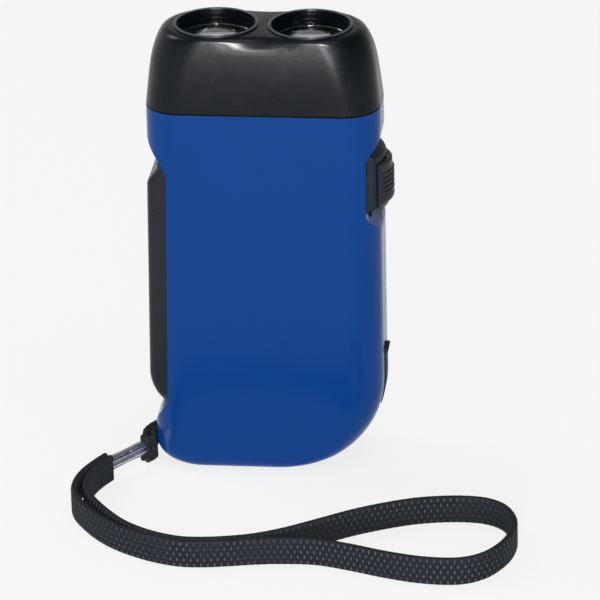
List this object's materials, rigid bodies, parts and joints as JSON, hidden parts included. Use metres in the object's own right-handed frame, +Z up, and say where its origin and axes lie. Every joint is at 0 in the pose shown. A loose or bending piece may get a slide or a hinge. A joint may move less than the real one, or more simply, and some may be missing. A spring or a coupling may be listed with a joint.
{
  "type": "hand-press dynamo flashlight",
  "caption": "Palm-sized squeeze-dynamo flashlight with a press lever down one side, a twin-lens head, a slide switch, a covered charging socket and a woven wrist strap.",
  "frame": {"origin": "on the flat foot, in the plane where the two case halves meet, midway across the case's width", "axes": "+Z up from the foot to the lamps, -Y out of the front of the case, -X towards the press lever, +X towards the switch"},
  "size_m": [0.0959, 0.0733, 0.1002],
  "materials": {
    "case_blue": "gloss moulded",
    "head_black": "satin moulded",
    "lever_black": "satin moulded",
    "switch_black": "fine matt",
    "rubber_black": "matt",
    "gear_brass": "cut",
    "coil_white": "moulded",
    "steel": "bright",
    "spring_steel": "drawn",
    "magnet": "ground",
    "copper": "enamelled",
    "board": "lacquered",
    "lens_clear": "clear moulded",
    "led_clear": "clear moulded",
    "mirror": "bright plated",
    "crimp": "bright plated",
    "strap": "woven"
  },
  "bodies": {
    "body": {"front_shell": "case_blue", "rear_shell": "case_blue", "head_cap": "head_black", "lens_left": "lens_clear", "lens_right": "lens_clear", "reflector_left": "mirror", "reflector_right": "mirror", "led_left": "led_clear", "led_right": "led_clear", "led_board": "board", "led_lead_plus": "copper", "led_lead_minus": "copper", "drive_axle": "steel", "idler_axle": "steel", "pole_can": "steel", "coil_bobbin": "coil_white", "coil_winding": "copper", "lever_pin": "steel", "case_screw_1": "steel", "case_screw_2": "steel", "case_screw_3": "steel", "case_screw_4": "steel", "battery_cell_1": "steel", "battery_cell_2": "steel", "battery_cell_3": "steel", "circuit_board": "board", "rectifier": "head_black", "slide_switch": "steel", "switch_bezel": "switch_black", "charge_socket": "head_black", "strap_post": "steel", "strap_tab": "strap", "strap_crimp": "crimp", "strap_loop": "strap"},
    "lever": {"lever": "lever_black", "lever_spring": "spring_steel"},
    "drive": {"drive_gear": "gear_brass"},
    "idler": {"idler_gear": "gear_brass"},
    "rotor": {"rotor_shaft": "steel", "rotor_pinion": "gear_brass", "rotor_hub": "coil_white", "rotor_magnet": "magnet"},
    "switch": {"switch_thumb": "switch_black"},
    "port_cover": {"port_cover": "rubber_black"}
  },
  "joints": [
    {"name": "rotor_spin", "type": "hinge", "parent": "body", "child": "rotor", "pos_m": [-0.00759, 0, 0.02148], "axis": [0, 1, 0], "range_deg": [-2090, 0]},
    {"name": "lever_press", "type": "hinge", "parent": "body", "child": "lever", "pos_m": [-0.0189, 0, 0.067], "axis": [0, 1, 0], "range_deg": [0, 22]},
    {"name": "drive_spin", "type": "hinge", "parent": "body", "child": "drive", "pos_m": [-0.0021, 0, 0.0379], "axis": [0, 1, 0], "range_deg": [-132, 0]},
    {"name": "idler_spin", "type": "hinge", "parent": "body", "child": "idler", "pos_m": [0.006, 0, 0.02387], "axis": [0, 1, 0], "range_deg": [0, 580.8]},
    {"name": "switch_slide", "type": "slide", "parent": "body", "child": "switch", "axis": [0, 0, 1], "range_m": [0, 0.002]},
    {"name": "port_cover_flap", "type": "hinge", "parent": "body", "child": "port_cover", "pos_m": [0.0245, 0, 0.0131], "axis": [0, 1, 0], "range_deg": [0, 75]}
  ],
  "couplings": [
    {"joint": "lever_press", "follows": "rotor_spin", "ratio": -0.010522},
    {"joint": "drive_spin", "follows": "rotor_spin", "ratio": 0.063131},
    {"joint": "idler_spin", "follows": "rotor_spin", "ratio": -0.27778}
  ]
}
